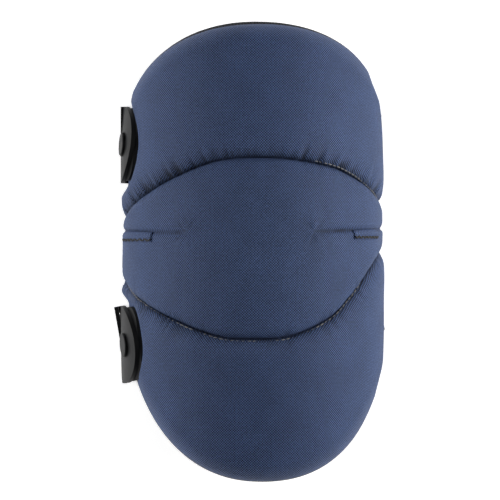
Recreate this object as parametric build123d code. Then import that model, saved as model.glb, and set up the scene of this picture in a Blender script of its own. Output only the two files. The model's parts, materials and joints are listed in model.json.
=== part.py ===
from build123d import *
import math
import os

os.makedirs("parts", exist_ok=True)

# A soft knee pad that lies on its straps, shin end towards -Y, crown up.
# X runs across the pad, Y along the leg, Z up. All sizes are millimetres.

# ---- overall shape -------------------------------------------------------
HALF_WIDTH = 68.0          # half the width over the side walls
OUTLINE_SPARE = 1.5        # the end domes are drawn this much wider than the walls
RIM_HEIGHT = 5.0           # height of the rims above the floor
WALL_TOP = 12.0            # the side walls are straight up to here
BEND_RADIUS = 240.0        # crown line, seen from the side
TOP_LENGTH = 120.0         # middle to the thigh end
BOTTOM_LENGTH = 120.0      # middle to the shin end
TOP_SHOULDER = 62.0        # where the thigh dome starts
BOTTOM_SHOULDER = 40.0     # where the shin dome starts
TOP_POWER = 2.25           # 2 is an ellipse, more is squarer
BOTTOM_POWER = 2.0
TIP_LEAN = 5.5             # both tips lean this far to +X
WAIST = 1.5                # how far the sides pull in at the darts
DART_Y = 11.0

# ---- layers, from the outside in -----------------------------------------
COVER = 1.0
CORE = 12.0
COMFORT = 4.0
LINER = 1.0
BINDING = 1.2

# ---- seams that the pad flexes at ----------------------------------------
THIGH_SEAM_Y = 25.0        # where each seam meets the rim, at mid width
SHIN_SEAM_Y = -7.0
THIGH_SEAM_LEAN = 18.5     # degrees from upright
SHIN_SEAM_LEAN = 28.0
SEAM_SKEW = 4.0            # degrees, both seams run up to the right
SEAM_GAP = 5.5             # degrees of open wedge at rest
GAP_ROOT = 6.0             # the wedge starts this far below the rim
THREAD = 1.0
THREAD_DEPTH = 8.0

# ---- darts at the waist ----------------------------------------------------
DART_WIDTH = 1.4
DART_DEPTH = 3.0
DART_REACH = {"left": -34.0, "right": 31.0}
FLAP_THICKNESS = 0.8
FLAP_WIDTH = 5.0
FLAP_SPAN = {"left": (-67.0, -52.0), "right": (51.5, 66.0)}

# ---- straps ----------------------------------------------------------------
STRAP_WIDTH = 32.0
STRAP_THICKNESS = 1.2
STRAP_LIFT = 2.0           # underside of the middle run, over the slider bars
STRAPS = {"upper": (56.0, 0.0, 17.0), "lower": (-36.5, 10.0, 24.0)}  # place, turn, snap height
RUNNING_GAP = 0.1
BAR_RADIUS = 0.9
BAR_SETBACK = 2.0          # bar centre, in from the side wall
BAR_BOSS_RADIUS = 1.9      # moulded round each end of the bar
CHEEK = 3.5                # moulded cheek each side of a strap slot
SLOT_GAP = 0.5

# ---- snap fasteners ----------------------------------------------------------
PLATE_WIDTH = 38.0
PLATE_ABOVE = 14.5         # top of the plate above the snap
PLATE_BELOW = 6.5
PLATE_CORNER = 9.0
PLATE_THICKNESS = 1.8
PLATE_DEPTH = 1.2          # top of the plate below the cover's surface
TAB_THICKNESS = 2.0
TAB_PROUD = 1.0            # how far the tab stands out of the cover
TAB_ABOVE = 15.0
TAB_ROOT = 6.5
TAB_ROOT_HEIGHT = 3.5      # straight strip under the curved part
TAB_CORNER = 4.0
STUD_RADIUS = 3.0
STUD_TIP_GAP = 0.4
STUD_ROUND = 1.0
SOCKET_GAP = 0.9
SOCKET_RADIUS = 5.3
CAP_RADIUS = 6.25
CAP_THICKNESS = 1.3
CAP_ROUND = 0.6
SHANK_RADIUS = 2.0
WASHER_RADIUS = 9.0
WASHER_THICKNESS = 1.0
POCKET_GAP = 0.5

# ---- adjuster slides ---------------------------------------------------------
SLIDER_X = 8.0
SLIDER_LENGTH = 24.0
SLIDER_BAR = 4.0
SLIDER_CHEEK = 3.0
SLIDER_FLOOR = 0.3
SLIDER_RIM = 0.8           # cheeks above the hub bar
SLIDER_ROUND = 4.0
RETURN_END = -50.0         # free end of the strap's return run

# ---- folded strap anchors ------------------------------------------------------
STRAP_END_INSET = 2.5      # strap's sewn end, in from the side wall
STRAP_RAMP = 16.0          # flat run past the tab's bar
STRAP_RAMP_RUN = 5.0
ANCHOR_LENGTH = 17.0
ANCHOR_LAYER = 1.8

# ---- worked out ------------------------------------------------------------
THICKNESS = COVER + CORE + COMFORT + LINER
BEND_CENTRE = WALL_TOP + HALF_WIDTH - BEND_RADIUS
BEND_AXIS = Axis((0, 0, BEND_CENTRE), (1, 0, 0))
BEND_SWEEP = 96.0
FAR = 400.0
LOOP_RADIUS = BAR_RADIUS + RUNNING_GAP + STRAP_THICKNESS
TAB_WIDTH = STRAP_WIDTH + 2 * (SLOT_GAP + CHEEK)


def arch(radius):
    """Edges of an arch: two straight legs under a half circle."""
    left = Line((-radius, 0), (-radius, WALL_TOP))
    crown = ThreePointArc((-radius, WALL_TOP), (0, WALL_TOP + radius), (radius, WALL_TOP))
    right = Line((radius, WALL_TOP), (radius, 0))
    return [left, crown, right]


def layer(top, bottom):
    """The curved layer between two depths below the cover's surface."""
    outer = HALF_WIDTH - top
    inner = HALF_WIDTH - bottom
    feet = [Line((side * outer, 0), (side * inner, 0)) for side in (-1, 1)]
    face = Plane.XZ * make_face(arch(outer) + arch(inner) + feet)
    return revolve(face.rotate(BEND_AXIS, -BEND_SWEEP / 2), BEND_AXIS, BEND_SWEEP)


def dome(side, inset, steps=8):
    """Points along one rounded end, from its +X shoulder to its -X shoulder."""
    length = TOP_LENGTH if side > 0 else BOTTOM_LENGTH
    shoulder = TOP_SHOULDER if side > 0 else BOTTOM_SHOULDER
    power = TOP_POWER if side > 0 else BOTTOM_POWER
    points = []
    for step in range(steps + 1):
        turn = math.pi * step / steps
        across = math.copysign(abs(math.cos(turn)) ** (2 / power), math.cos(turn))
        along = math.sin(turn) ** (2 / power)
        x = (HALF_WIDTH + OUTLINE_SPARE - inset) * across + TIP_LEAN * along
        points.append((x, side * (shoulder + (length - shoulder - inset) * along)))
    return points


def outline(inset):
    """The pad's outline from the front, as a tall block that stands at rim height."""
    waist = HALF_WIDTH - WAIST - inset
    top = dome(1, inset)
    bottom = dome(-1, inset)[::-1]
    points = [(waist, DART_Y)] + top + [(-waist, DART_Y)] + bottom
    face = Pos(0, 0, RIM_HEIGHT + inset) * make_face(Spline(*points, periodic=True))
    return extrude(face, FAR / 2)


def seam_root(seam_y, lean, side):
    """The foot of a seam's wedge, in the plane across the seams."""
    return (seam_y - side * GAP_ROOT * math.tan(math.radians(lean)), RIM_HEIGHT - GAP_ROOT)


def along_seam(root, angle):
    return (root[0] + FAR * math.sin(math.radians(angle)), root[1] + FAR * math.cos(math.radians(angle)))


THIGH_ROOT = seam_root(THIGH_SEAM_Y, THIGH_SEAM_LEAN, 1)
SHIN_ROOT = seam_root(SHIN_SEAM_Y, SHIN_SEAM_LEAN, -1)
FLOOR_Z = THIGH_ROOT[1]


def zone(*corners):
    """A region between seams, drawn across them and run the pad's whole width."""
    block = extrude(Plane.YZ * make_face(Polyline(*corners, close=True)), FAR / 2, both=True)
    return block.rotate(Axis.Z, SEAM_SKEW)


def thigh_face(shift):
    return along_seam(THIGH_ROOT, THIGH_SEAM_LEAN + shift)


def shin_face(shift):
    return along_seam(SHIN_ROOT, -SHIN_SEAM_LEAN - shift)


HALF_GAP = SEAM_GAP / 2
ZONES = {
    "knee": zone(THIGH_ROOT, thigh_face(-HALF_GAP), shin_face(-HALF_GAP), SHIN_ROOT),
    "thigh": zone(THIGH_ROOT, thigh_face(HALF_GAP), (FAR, FAR), (FAR, FLOOR_Z)),
    "shin": zone(SHIN_ROOT, shin_face(HALF_GAP), (-FAR, FAR), (-FAR, FLOOR_Z)),
}
THREAD_ANGLE = 0.9         # degrees of the wedge that the quilting thread takes up
THREAD_ZONES = {
    "thigh": zone(THIGH_ROOT, thigh_face(-HALF_GAP + 0.1), thigh_face(-HALF_GAP + THREAD_ANGLE)),
    "shin": zone(SHIN_ROOT, shin_face(-HALF_GAP + 0.1), shin_face(-HALF_GAP + THREAD_ANGLE)),
}


def side_plane(y, z):
    """The plane that touches the cover on the -X wall, its normal outward."""
    reach = math.hypot(y, z - BEND_CENTRE)
    rise = max(BEND_CENTRE + reach - WALL_TOP, 0.0)
    x = -math.sqrt(HALF_WIDTH ** 2 - rise ** 2)
    normal = (x, rise * y / reach, rise * (z - BEND_CENTRE) / reach)
    return Plane((x, y, z), z_dir=normal)


def lying_bar(x, z, radius, length):
    """A round bar across the strap, along Y."""
    return Pos(x, 0, z) * Rot(90, 0, 0) * Cylinder(radius, length)


def strip(x_start, x_end, z_low, z_high, width=STRAP_WIDTH):
    centre = Pos((x_start + x_end) / 2, 0, (z_low + z_high) / 2)
    return centre * Box(x_end - x_start, width, z_high - z_low)


def rounded_end(width, low, high):
    """A tab's outline from the side, rounded at its top, run through the wall in X."""
    radius = width / 2
    face = Plane.YZ * (Pos(0, (low + high) / 2) * RectangleRounded(width, high - low, TAB_CORNER))
    round_top = Plane.YZ * (Pos(0, high - radius) * Circle(radius))
    below = Plane.YZ * (Pos(0, high - radius - FAR / 2) * Rectangle(FAR, FAR))
    block = extrude(face, FAR / 2, both=True)
    return block & (extrude(round_top, FAR / 2, both=True) + extrude(below, FAR / 2, both=True))


def strap_parts(place_y, turn, snap_height):
    """Everything of one strap, in the pad's frame."""
    frame = Pos(0, place_y, 0) * Rot(0, 0, turn)
    to_local = frame.inverse()
    wall = to_local * layer(-TAB_PROUD, TAB_THICKNESS - TAB_PROUD)
    bed = to_local * layer(PLATE_DEPTH, PLATE_DEPTH + PLATE_THICKNESS)
    left = Pos(-FAR / 4, 0, 0) * Box(FAR / 2, FAR, FAR)

    angle = math.radians(turn)
    snap = to_local * side_plane(place_y - HALF_WIDTH * math.sin(angle), snap_height).location
    bar_x = -HALF_WIDTH / math.cos(angle) + BAR_SETBACK
    bar_z = LOOP_RADIUS
    tab_top = snap_height + TAB_ABOVE
    tab_outline = rounded_end(TAB_WIDTH, TAB_ROOT, tab_top)
    plate_face = Plane.YZ * RectangleRounded(PLATE_WIDTH, PLATE_ABOVE + PLATE_BELOW, PLATE_CORNER)
    plate_z = snap_height + (PLATE_ABOVE - PLATE_BELOW) / 2
    plate_outline = Pos(0, 0, plate_z) * extrude(plate_face, FAR / 2, both=True)

    def post(radius, depth_in, depth_out):
        """A round post square through the wall at the snap."""
        return snap * Pos(0, 0, (depth_out - depth_in) / 2) * Cylinder(radius, depth_in + depth_out)

    # Moulded tab: a curved plate, two cheeks and the bar that the strap loops round.
    plate = bed & plate_outline & left
    tab = wall & tab_outline & left
    cheek_y = STRAP_WIDTH / 2 + SLOT_GAP + CHEEK / 2
    wall_out = -HALF_WIDTH / math.cos(angle) - TAB_PROUD
    wall_in = wall_out + TAB_THICKNESS
    root_top = TAB_ROOT + TAB_ROOT_HEIGHT
    arm = Plane.XZ * make_face(
        Polyline(
            (bar_x, bar_z - BAR_BOSS_RADIUS),
            (wall_out + 1.2, bar_z - BAR_BOSS_RADIUS),
            (wall_out, bar_z + 1.0),
            (wall_out, root_top),
            (wall_in, root_top),
            (wall_in + 0.3, bar_z + BAR_BOSS_RADIUS),
            (bar_x, bar_z + BAR_BOSS_RADIUS),
            close=True,
        )
    )
    for side in (-1, 1):
        tab += Pos(0, side * cheek_y, 0) * extrude(arm, CHEEK / 2, both=True)
        tab += Pos(0, side * cheek_y, 0) * lying_bar(bar_x, bar_z, BAR_BOSS_RADIUS, CHEEK)
    tab += strip(wall_out, wall_in, TAB_ROOT, root_top, TAB_WIDTH)
    tab += lying_bar(bar_x, bar_z, BAR_RADIUS, STRAP_WIDTH + 2 * SLOT_GAP)
    tab -= post(SOCKET_RADIUS, 10, 10)

    socket = post(SOCKET_RADIUS, TAB_THICKNESS - TAB_PROUD - 0.2, TAB_PROUD)
    socket -= post(STUD_RADIUS + SOCKET_GAP, 10, 10)
    cap = post(CAP_RADIUS, -TAB_PROUD, TAB_PROUD + CAP_THICKNESS)
    cap = fillet(cap.faces().sort_by(Axis.X)[0].edges(), CAP_ROUND)

    stud = post(STUD_RADIUS, PLATE_DEPTH + PLATE_THICKNESS + 0.2, TAB_PROUD - STUD_TIP_GAP)
    stud = fillet(stud.faces().sort_by(Axis.X)[0].edges(), STUD_ROUND)
    plate -= post(STUD_RADIUS, 10, 10)
    shank_end = COVER + CORE
    rivet = post(SHANK_RADIUS, shank_end, -PLATE_DEPTH - PLATE_THICKNESS - 0.2)
    rivet += post(WASHER_RADIUS, shank_end + WASHER_THICKNESS, -shank_end)

    pocket = to_local * layer(-TAB_PROUD, TAB_THICKNESS - TAB_PROUD + 0.2)
    pocket = pocket & rounded_end(TAB_WIDTH + 2 * POCKET_GAP, 0, tab_top + POCKET_GAP) & left
    pocket += plate_outline & (to_local * layer(-TAB_PROUD, PLATE_DEPTH + PLATE_THICKNESS)) & left
    pocket += post(STUD_RADIUS, PLATE_DEPTH + PLATE_THICKNESS + 0.2, 0) + rivet
    pocket += strip(wall_out - 2, wall_in + 0.9, 0, root_top + POCKET_GAP, TAB_WIDTH + 2 * POCKET_GAP)

    # Strap: loop round the bar, a run on the floor, then over the slider's bars.
    ramp = bar_x + STRAP_RAMP
    top = STRAP_LIFT + STRAP_THICKNESS
    strap_end = HALF_WIDTH - STRAP_END_INSET
    side_view = Plane.XZ * make_face(
        Polyline(
            (bar_x, 0),
            (ramp, 0),
            (ramp + STRAP_RAMP_RUN, STRAP_LIFT),
            (strap_end, STRAP_LIFT),
            (strap_end, top),
            (ramp + STRAP_RAMP_RUN, top),
            (ramp, STRAP_THICKNESS),
            (bar_x, STRAP_THICKNESS),
            close=True,
        )
    )
    strap = extrude(side_view, STRAP_WIDTH / 2, both=True)
    strap += lying_bar(bar_x, bar_z, LOOP_RADIUS, STRAP_WIDTH)
    strap -= lying_bar(bar_x, bar_z, BAR_RADIUS + RUNNING_GAP, STRAP_WIDTH + 1)

    # Folded anchor that clasps the strap's end under the right rim.
    anchor_start = strap_end - ANCHOR_LENGTH
    anchor = strip(anchor_start, strap_end + 1.5, 0, RIM_HEIGHT, STRAP_WIDTH + 2)
    anchor -= strip(anchor_start - 1, strap_end, ANCHOR_LAYER + 0.2, top, STRAP_WIDTH + 3)

    # Adjuster: two bars under the strap, one over it that the return run is sewn round.
    hub_z = top + RUNNING_GAP + LOOP_RADIUS
    half = SLIDER_LENGTH / 2
    slider_y = STRAP_WIDTH / 2 + SLOT_GAP + SLIDER_CHEEK / 2
    slider_top = hub_z + BAR_RADIUS + SLIDER_RIM
    cheek = strip(SLIDER_X - half, SLIDER_X + half, SLIDER_FLOOR, slider_top, SLIDER_CHEEK)
    cheek = fillet(cheek.edges().filter_by(Axis.Y).group_by(Axis.Z)[-1], SLIDER_ROUND)
    slider = Pos(0, -slider_y, 0) * cheek + Pos(0, slider_y, 0) * cheek
    for x in (SLIDER_X - half + SLIDER_BAR / 2, SLIDER_X + half - SLIDER_BAR / 2):
        bar = strip(x - SLIDER_BAR / 2, x + SLIDER_BAR / 2, SLIDER_FLOOR, STRAP_LIFT - 0.2, 2 * slider_y)
        slider += bar
    slider += lying_bar(SLIDER_X, hub_z, BAR_RADIUS, 2 * slider_y)
    loop_low = hub_z - LOOP_RADIUS
    back_run = strip(RETURN_END, SLIDER_X, loop_low, loop_low + STRAP_THICKNESS)
    back_run += lying_bar(SLIDER_X, hub_z, LOOP_RADIUS, STRAP_WIDTH)
    back_run -= lying_bar(SLIDER_X, hub_z, BAR_RADIUS + RUNNING_GAP, STRAP_WIDTH + 1)

    parts = {
        "stud_plate": plate,
        "snap_stud": stud,
        "stud_rivet": rivet,
        "strap": strap,
        "strap_anchor": anchor,
        "strap_tab": tab,
        "snap_socket": socket,
        "snap_cap": cap,
        "slider": slider,
        "strap_return": back_run,
    }
    return {name: frame * solid for name, solid in parts.items()}, frame * pocket


def pad_shape(depth_top, depth_bottom, inset):
    """One layer cut to the outline and the rims, drawn in by the binding's thickness."""
    return layer(depth_top, depth_bottom) & outline(inset)


def pad_parts():
    """Every layer of every section, with the grooves for the darts."""
    depths = {"cover": (0, COVER), "core_foam": (COVER, COVER + CORE)}
    depths["comfort_foam"] = (COVER + CORE, COVER + CORE + COMFORT)
    depths["liner"] = (THICKNESS - LINER, THICKNESS)
    sheets = {name: pad_shape(*depth, BINDING) for name, depth in depths.items()}
    whole = pad_shape(0, THICKNESS, 0)
    edge = whole - outline(BINDING)

    parts = {}
    for section, block in ZONES.items():
        for name, sheet in sheets.items():
            parts[section + "_" + name] = sheet & block
        parts[section + "_binding"] = edge & block
    knee_binding = parts.pop("knee_binding")
    for side, sign in (("left", -1), ("right", 1)):
        half = Pos(sign * FAR / 4, 0, 0) * Box(FAR / 2, FAR, FAR)
        parts["knee_binding_" + side] = knee_binding & half

    groove_layer = layer(0, DART_DEPTH)
    for side, reach in DART_REACH.items():
        far_x = math.copysign(FAR / 4, reach)
        slot = Pos((reach + far_x) / 2, DART_Y, FAR / 4) * Box(abs(far_x - reach), DART_WIDTH, FAR / 2)
        fold = groove_layer & slot & outline(BINDING)
        parts["dart_fold_" + side] = fold
        parts["knee_cover"] -= fold
        parts["knee_core_foam"] -= fold
        low, high = FLAP_SPAN[side]
        flap_y = DART_Y - DART_WIDTH / 2 - FLAP_WIDTH / 2
        foot = RIM_HEIGHT + 4 * BINDING
        patch = Pos((low + high) / 2, flap_y, foot + FAR / 2) * Box(high - low, FLAP_WIDTH, FAR)
        parts["dart_flap_" + side] = layer(-FLAP_THICKNESS, 0) & patch
    thread_layer = pad_shape(THREAD_DEPTH, THREAD_DEPTH + THREAD, BINDING)
    for section, block in THREAD_ZONES.items():
        parts[section + "_quilting_thread"] = thread_layer & block
    return parts


def build():
    """All nodes by name."""
    parts = pad_parts()
    for name, (place_y, turn, snap_height) in STRAPS.items():
        section = "thigh" if name == "upper" else "shin"
        fittings, pocket = strap_parts(place_y, turn, snap_height)
        for sheet in ("cover", "core_foam", "comfort_foam", "binding"):
            parts[section + "_" + sheet] -= pocket
        parts.update({name + "_" + node: solid for node, solid in fittings.items()})
    return parts


nodes = build()
lows, highs = zip(*((shape.bounding_box().min, shape.bounding_box().max) for shape in nodes.values()))
middle_x = (min(low.X for low in lows) + max(high.X for high in highs)) / 2
middle_y = (min(low.Y for low in lows) + max(high.Y for high in highs)) / 2
print("pad centre moved by", -middle_x, -middle_y)
for node, shape in nodes.items():
    centred = Pos(-middle_x, -middle_y, 0) * shape
    solids = centred.solids()
    body = solids[0] if len(solids) == 1 else Compound(children=solids)
    body.label = node
    export_step(body, "parts/" + node + ".step")
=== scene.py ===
"""Soft quilted knee pad: woven nylon cover, knitted liner, snap tabs and elastic straps."""

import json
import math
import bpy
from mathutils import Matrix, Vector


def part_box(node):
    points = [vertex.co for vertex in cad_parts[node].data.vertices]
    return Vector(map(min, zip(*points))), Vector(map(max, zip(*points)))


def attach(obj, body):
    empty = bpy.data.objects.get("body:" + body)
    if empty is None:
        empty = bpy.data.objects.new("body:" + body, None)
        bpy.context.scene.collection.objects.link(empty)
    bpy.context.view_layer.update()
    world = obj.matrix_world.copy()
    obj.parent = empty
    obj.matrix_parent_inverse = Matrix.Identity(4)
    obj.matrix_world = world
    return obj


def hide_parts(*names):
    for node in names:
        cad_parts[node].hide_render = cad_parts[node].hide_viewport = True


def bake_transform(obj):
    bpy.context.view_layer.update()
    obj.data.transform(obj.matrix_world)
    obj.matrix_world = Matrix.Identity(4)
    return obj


bl_info = {
    "name": "Quilted knee pad",
    "version": (1, 0, 0),
    "blender": (4, 5, 0),
    "location": "View3D > Sidebar > Knee pad",
    "description": "Sews a quilted knee pad round its packed frame",
    "category": "Object",
}

import bmesh
import bpy
import numpy as np
from bpy.props import FloatProperty, PointerProperty, StringProperty
from bpy.types import Operator, Panel, PropertyGroup
from mathutils import Vector

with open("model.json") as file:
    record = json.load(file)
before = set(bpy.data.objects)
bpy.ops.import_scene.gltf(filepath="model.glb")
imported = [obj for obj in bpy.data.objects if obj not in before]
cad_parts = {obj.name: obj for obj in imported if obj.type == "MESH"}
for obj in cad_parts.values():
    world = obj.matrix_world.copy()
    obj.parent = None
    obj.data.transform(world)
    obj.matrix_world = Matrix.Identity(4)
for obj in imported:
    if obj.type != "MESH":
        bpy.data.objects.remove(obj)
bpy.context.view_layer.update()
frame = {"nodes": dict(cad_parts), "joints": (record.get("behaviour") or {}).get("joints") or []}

# ---- places read from the frame, in millimetres
MM = 0.001


def box_mm(node):
    low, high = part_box(node)
    return np.array(low) / MM, np.array(high) / MM


THIGH_LOW, THIGH_HIGH = box_mm("thigh_binding")
SHIN_LOW = box_mm("shin_binding")[0]
KNEE_TOP = box_mm("knee_cover")[1][2]
MIDDLE_X = (THIGH_LOW[0] + THIGH_HIGH[0]) / 2
MIDDLE_Y = (THIGH_HIGH[1] + SHIN_LOW[1]) / 2
RIM_Z = THIGH_LOW[2]
HALF_WIDTH = (THIGH_HIGH[0] - THIGH_LOW[0]) / 2
HALF_LENGTH = (THIGH_HIGH[1] - SHIN_LOW[1]) / 2
INNER_HALF = box_mm("thigh_liner")[1][0] - MIDDLE_X - 1.0
WALL = HALF_WIDTH - INNER_HALF
WALL_TOP = KNEE_TOP - HALF_WIDTH
BEND_RADIUS = 240.0
BEND_CENTRE = KNEE_TOP - BEND_RADIUS
HALF_ARC = HALF_WIDTH * math.pi / 2
LINE_STEP = 0.5  # between the samples of the edge and of every sewing line
REACH_X = HALF_ARC + 26  # how far the panels' grids reach from the middle
REACH_Y = HALF_LENGTH + 16
EDGE_CLEARANCE = 3.0  # what the cover's edge leaves free of the wall, for the tape to fold round
EDGE_TUCK = 1.1  # how far that edge is drawn in under the tape
STUFFING_STEP = 4.0  # grid of the cloth that is blown out
SWELL_LIMIT = 1.6
LINER_STEP = 2.0
LINER_INSET = 2.5
LINER_GAP = 0.2
TAPE_LIP = 1.1  # how far the tape stands out at the middle of the thigh end
STRAP_WIDTH = 31.6
STRAP_THICKNESS = 1.0
STRAP_LIFT = 2.1  # under the strap's long run
STRAP_PAST_BAR = 57.5  # from the slider's bar to the fold of the anchor
RETURN_LENGTH = 50.0
SLIDER_BAR_Z = 5.5
ANCHOR_THICKNESS = 1.7
ANCHOR_LENGTH = 17.0

# ---- the cover's sewing lines, across and along the unrolled shell
THIGH_SEAM = ((-116, 12), (-93, 21), (-62, 32), (-43, 39.2), (-16, 47.4), (14, 48.2),
              (43, 44.3), (60, 39.6), (82, 31.8), (116, 22))
SHIN_SEAM = ((-116, -9), (-93, -18), (-56, -31), (-20, -42.8), (0, -44.6), (20, -43.2),
             (43, -34.4), (57, -24.8), (75, -10.5), (91, -2.0), (116, 4))
# Each dart's two ends, and each flap: from and to across the shell, from and to along it.
DARTS = {"left": ((-118, 11.2), (-35.5, 9.8)), "right": ((118, 12.6), (32.5, 10.4))}
FLAPS = {"left": (-93.0, -58.0, 5.0, 10.4), "right": (58.5, 82.0, 6.4, 11.2)}
# Each rounded end of the outline: side along the leg, half widths left and right, where the
# rounding starts, how far the tip is, squareness and how far the tip leans to the right.
ENDS = ((1, 68.0, 68.6, 63.0, 117.2, 2.24, 3.9), (-1, 68.4, 69.9, 23.7, 118.0, 2.26, 5.4))


class KneePadSizes(PropertyGroup):
    weave_pitch: FloatProperty(
        name="Weave pitch", description="One yarn of the cover's plain weave",
        default=0.00068, unit="LENGTH")
    edge_round: FloatProperty(
        name="Edge round", description="Radius of the padded edge", default=0.0085, unit="LENGTH")
    seam_depth: FloatProperty(
        name="Seam depth", description="How far the quilting pulls the cover in",
        default=0.0048, unit="LENGTH")
    stitch_length: FloatProperty(
        name="Stitch length", description="One stitch with its gap", default=0.003, unit="LENGTH")
    grid_step: FloatProperty(
        name="Cloth step", description="Spacing of the cover's mesh", default=0.0008, unit="LENGTH")


class KneePadColours(PropertyGroup):
    nylon_light: StringProperty(
        name="Nylon, raised yarn", description="sRGB hex", default="4c6290")
    nylon_dark: StringProperty(
        name="Nylon, sunk yarn", description="sRGB hex", default="050916")
    plastic: StringProperty(name="Moulded plastic", description="sRGB hex", default="0b0b0c")
    thread: StringProperty(name="Quilting thread", description="sRGB hex", default="5f5f60")


def sizes():
    return bpy.context.scene.knee_pad_sizes


def colours():
    return bpy.context.scene.knee_pad_colours


# ---- shape of the shell
def shell_point(across, along, depth):
    """Points of the shell: across is measured round the arch, along from the arch's middle."""
    radius = HALF_WIDTH - depth
    angle = np.clip(across, -HALF_ARC, HALF_ARC) / HALF_WIDTH
    leg = np.maximum(np.abs(across) - HALF_ARC, 0.0)
    height = WALL_TOP + radius * np.cos(angle) - leg
    reach = height - BEND_CENTRE
    x = radius * np.sin(angle) + MIDDLE_X
    z = BEND_CENTRE + np.sqrt(np.maximum(reach ** 2 - along ** 2, 1.0))
    return np.stack([x, along + MIDDLE_Y, z], axis=-1)


def shell_step(points, depth):
    """The way from the shell's surface to that depth below it."""
    surface = shell_point(points[:, 0], points[:, 1], 0.0)
    return shell_point(points[:, 0], points[:, 1], depth) - surface


def rim_across(along):
    """How far round the arch the rim is."""
    height = np.hypot(along, RIM_Z - BEND_CENTRE) + BEND_CENTRE
    rise = np.clip((height - WALL_TOP) / HALF_WIDTH, 0, 1)
    down_the_wall = HALF_ARC + WALL_TOP - height
    return np.where(height < WALL_TOP, down_the_wall, HALF_WIDTH * np.arccos(rise))


def bell(distance, width):
    return np.exp(-(distance / width) ** 2)


def smooth_loop(points, width):
    """Rounds the corners of a closed line sampled every millimetre, with a bell of that width."""
    spread = np.arange(-3 * int(width), 3 * int(width) + 1)
    weights = bell(spread, width)
    weights /= weights.sum()
    return sum(w * np.roll(points, shift, axis=0) for w, shift in zip(weights, spread))


def resample(points, step, closed):
    """Evenly spaced points along a line."""
    line = np.vstack([points, points[:1]]) if closed else points
    length = np.concatenate([[0], np.cumsum(np.hypot(*np.diff(line, axis=0).T))])
    count = max(int(round(length[-1] / step)), 2)
    at = np.linspace(0, length[-1], count + 1)
    if closed:
        at = at[:-1]
    return np.stack([np.interp(at, length, line[:, k]) for k in (0, 1)], axis=-1)


def outline_loop():
    """The pad's edge on the unrolled shell, closed, from the right waist round the thigh end."""
    ends = []
    for side, left, right, shoulder, tip, power, lean in ENDS:
        turn = np.linspace(0, math.pi, 181)
        share = np.sin(turn) ** (2 / power)
        along = shoulder + (tip - shoulder) * share
        x = np.where(turn < math.pi / 2, right, left) * np.sign(np.cos(turn)) \
            * np.abs(np.cos(turn)) ** (2 / power) + lean * share
        limit = rim_across(along)
        across = HALF_WIDTH * np.arcsin(np.clip(x / HALF_WIDTH, -1, 1))
        at_wall = np.abs(x) >= HALF_WIDTH
        across = np.where(at_wall, np.sign(x) * limit, np.clip(across, -limit, limit))
        ends.append(np.stack([across, side * along], axis=-1)[::side])
    top, bottom = ends
    left = np.linspace(top[-1, 1], bottom[0, 1], 60)[1:-1]
    right = left[::-1]
    left_side = np.stack([-rim_across(left) + 2.0 * bell(left - 8, 16), left], axis=-1)
    right_side = np.stack([rim_across(right) - 2.0 * bell(right - 8, 16), right], axis=-1)
    rough = np.vstack([top, left_side, bottom, right_side])
    return resample(smooth_loop(resample(rough, 1.0, True), 4.0), LINE_STEP, True)


def seam_line(corners):
    """A smooth sewing line through a few points."""
    corners = np.array(corners, float)
    fine = []
    padded = np.vstack([2 * corners[0] - corners[1], corners, 2 * corners[-1] - corners[-2]])
    for before, start, end, after in zip(padded, padded[1:], padded[2:], padded[3:]):
        for t in np.linspace(0, 1, 24, endpoint=False):
            fine.append(0.5 * (2 * start + (end - before) * t
                               + (2 * before - 5 * start + 4 * end - after) * t ** 2
                               + (3 * start - before - 3 * end + after) * t ** 3))
    fine.append(corners[-1])
    return resample(np.array(fine), LINE_STEP, False)


def nearest(points, line):
    """Index of the nearest sample of a line, and the distance to it."""
    index = np.empty(len(points), int)
    for start in range(0, len(points), 4000):
        part = points[start:start + 4000]
        gap = (part[:, None, 0] - line[:, 0]) ** 2 + (part[:, None, 1] - line[:, 1]) ** 2
        index[start:start + 4000] = gap.argmin(axis=1)
    return index, np.hypot(*(points - line[index]).T)


EDGE = outline_loop()
EDGE_ALONG = np.roll(EDGE, -1, axis=0) - np.roll(EDGE, 1, axis=0)
EDGE_ALONG /= np.hypot(*EDGE_ALONG.T)[:, None]
EDGE_INWARD = np.stack([-EDGE_ALONG[:, 1], EDGE_ALONG[:, 0]], axis=-1)
SEAMS = {"thigh": seam_line(THIGH_SEAM), "shin": seam_line(SHIN_SEAM)}
DART_LINES = {side: seam_line(ends) for side, ends in DARTS.items()}


def edge_walls():
    """Which way the padded wall goes from the edge: down under the ends, inward at the rims."""
    top = shell_point(EDGE[:, 0], EDGE[:, 1], 0.0)
    inward = shell_step(EDGE, 1.0)
    at_rim = np.clip((RIM_Z + 15 - top[:, 2]) / 13, 0, 1)
    at_rim = (at_rim * at_rim * (3 - 2 * at_rim))[:, None]
    down = np.array([0.0, 0.0, -1.0]) / np.maximum(-inward[:, 2:], 0.5)
    walls = (1 - at_rim) * down + at_rim * inward
    return walls, inward


EDGE_WALL, EDGE_IN = edge_walls()


def on_edge(places, depth, index):
    """Points of the padded wall, turned inward where they reach the rim's height."""
    spots = shell_point(places[:, 0], places[:, 1], 0.0)
    spots += EDGE_WALL[index] * np.reshape(depth, (-1, 1))
    below = np.maximum(RIM_Z + 0.2 - spots[:, 2], 0)
    level = EDGE_IN[index] * (1.0, 1.0, 0.0)
    level /= np.maximum(np.linalg.norm(level, axis=1), 1e-6)[:, None]
    spots += level * below[:, None]
    spots[:, 2] += below
    return spots


def inside_edge(points):
    """The edge sample nearest to each point, and how far inside the edge the point lies."""
    index, _ = nearest(points, EDGE)
    return index, ((points - EDGE[index]) * EDGE_INWARD[index]).sum(axis=1)


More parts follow.
